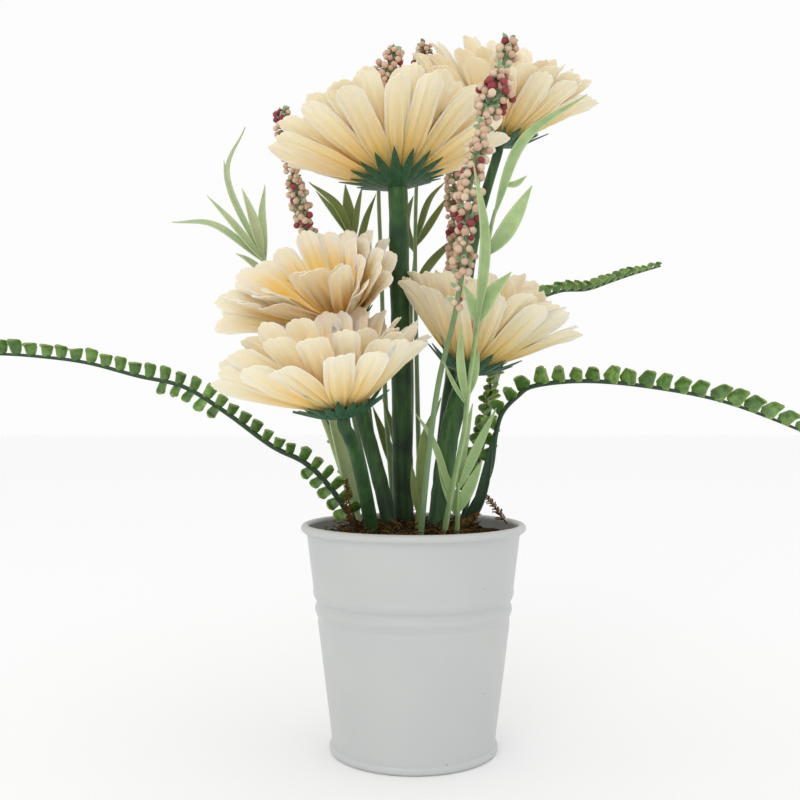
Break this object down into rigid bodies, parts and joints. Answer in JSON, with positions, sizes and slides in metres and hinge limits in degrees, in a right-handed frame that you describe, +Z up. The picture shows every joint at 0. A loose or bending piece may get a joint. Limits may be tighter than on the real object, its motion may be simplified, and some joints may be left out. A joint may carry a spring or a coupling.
{
  "type": "potted daisy arrangement",
  "caption": "Cream daisy blooms with berry spikes, leafy sprays and fern fronds, standing in moss in a small round white metal pot.",
  "frame": {"origin": "middle of the pot's flat bottom panel, on the surface it stands on", "axes": "+Z up along the pot's axis, -Y towards the side that is seen first, +X to its right"},
  "size_m": [0.4123, 0.2172, 0.3765],
  "materials": {
    "tin": "satin white enamel on sheet steel",
    "foam": "dry foam",
    "moss": "dried moss strands",
    "stem": "satin moulded plastic over wire",
    "petal": "dyed and pressed polyester cloth",
    "eye": "cut pile",
    "berry": "coated foam beads",
    "leaf": "matt moulded plastic",
    "fern": "satin moulded plastic"
  },
  "bodies": {
    "root": {"pot": "tin", "foam_block": "foam", "moss_bed": "moss", "bloom_low_stem": "stem", "bloom_low_petals": "petal", "bloom_low_eye": "eye", "bloom_left_stem": "stem", "bloom_left_petals": "petal", "bloom_left_eye": "eye", "bloom_right_stem": "stem", "bloom_right_petals": "petal", "bloom_right_eye": "eye", "bloom_front_stem": "stem", "bloom_front_petals": "petal", "bloom_front_eye": "eye", "bloom_back_stem": "stem", "bloom_back_petals": "petal", "bloom_back_eye": "eye", "spike_front": "berry", "spike_left": "berry", "spike_middle": "berry", "spike_top": "berry", "spike_rear": "berry", "spray_left": "leaf", "spray_right": "leaf", "spray_base": "leaf", "spray_rear_left": "leaf", "spray_rear_middle": "leaf", "spray_middle": "leaf", "frond_left": "fern", "frond_right": "fern", "frond_back": "fern", "frond_rear_left": "fern", "frond_short": "fern"}
  },
  "joints": []
}
